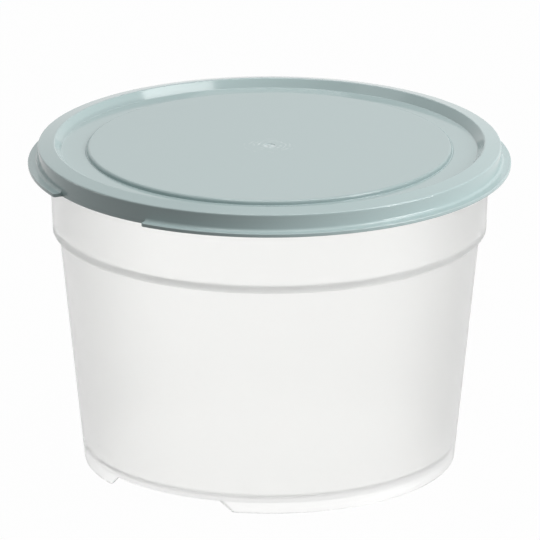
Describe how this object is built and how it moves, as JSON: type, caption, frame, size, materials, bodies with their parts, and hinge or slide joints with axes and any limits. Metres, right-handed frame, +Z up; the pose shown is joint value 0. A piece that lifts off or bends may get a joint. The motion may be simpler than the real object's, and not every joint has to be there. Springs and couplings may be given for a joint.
{
  "type": "dough proofing container",
  "caption": "Round tapered tub with a foot ring, a stepped shoulder and an out-turned rim, closed by a press-on lid with a stacking groove and a finger lip, for proofing and storing dough.",
  "frame": {"origin": "middle of the underside, on the surface that the foot ring stands on", "axes": "+Z up along the axis of the container and lid; the picture looks along +Y, so -Y is the front and +X the right; the lid is closed"},
  "size_m": [0.25, 0.25, 0.1701],
  "materials": {
    "natural_polypropylene": "satin, milky see-through, as moulded",
    "grey_green_polypropylene": "glossy, opaque, as moulded"
  },
  "bodies": {
    "container": {"container": "natural_polypropylene"},
    "lid": {"lid": "grey_green_polypropylene"}
  },
  "joints": [
    {"name": "lid_lift", "type": "slide", "parent": "container", "child": "lid", "axis": [0, 0, 1], "range_m": [0, 0.12]}
  ]
}
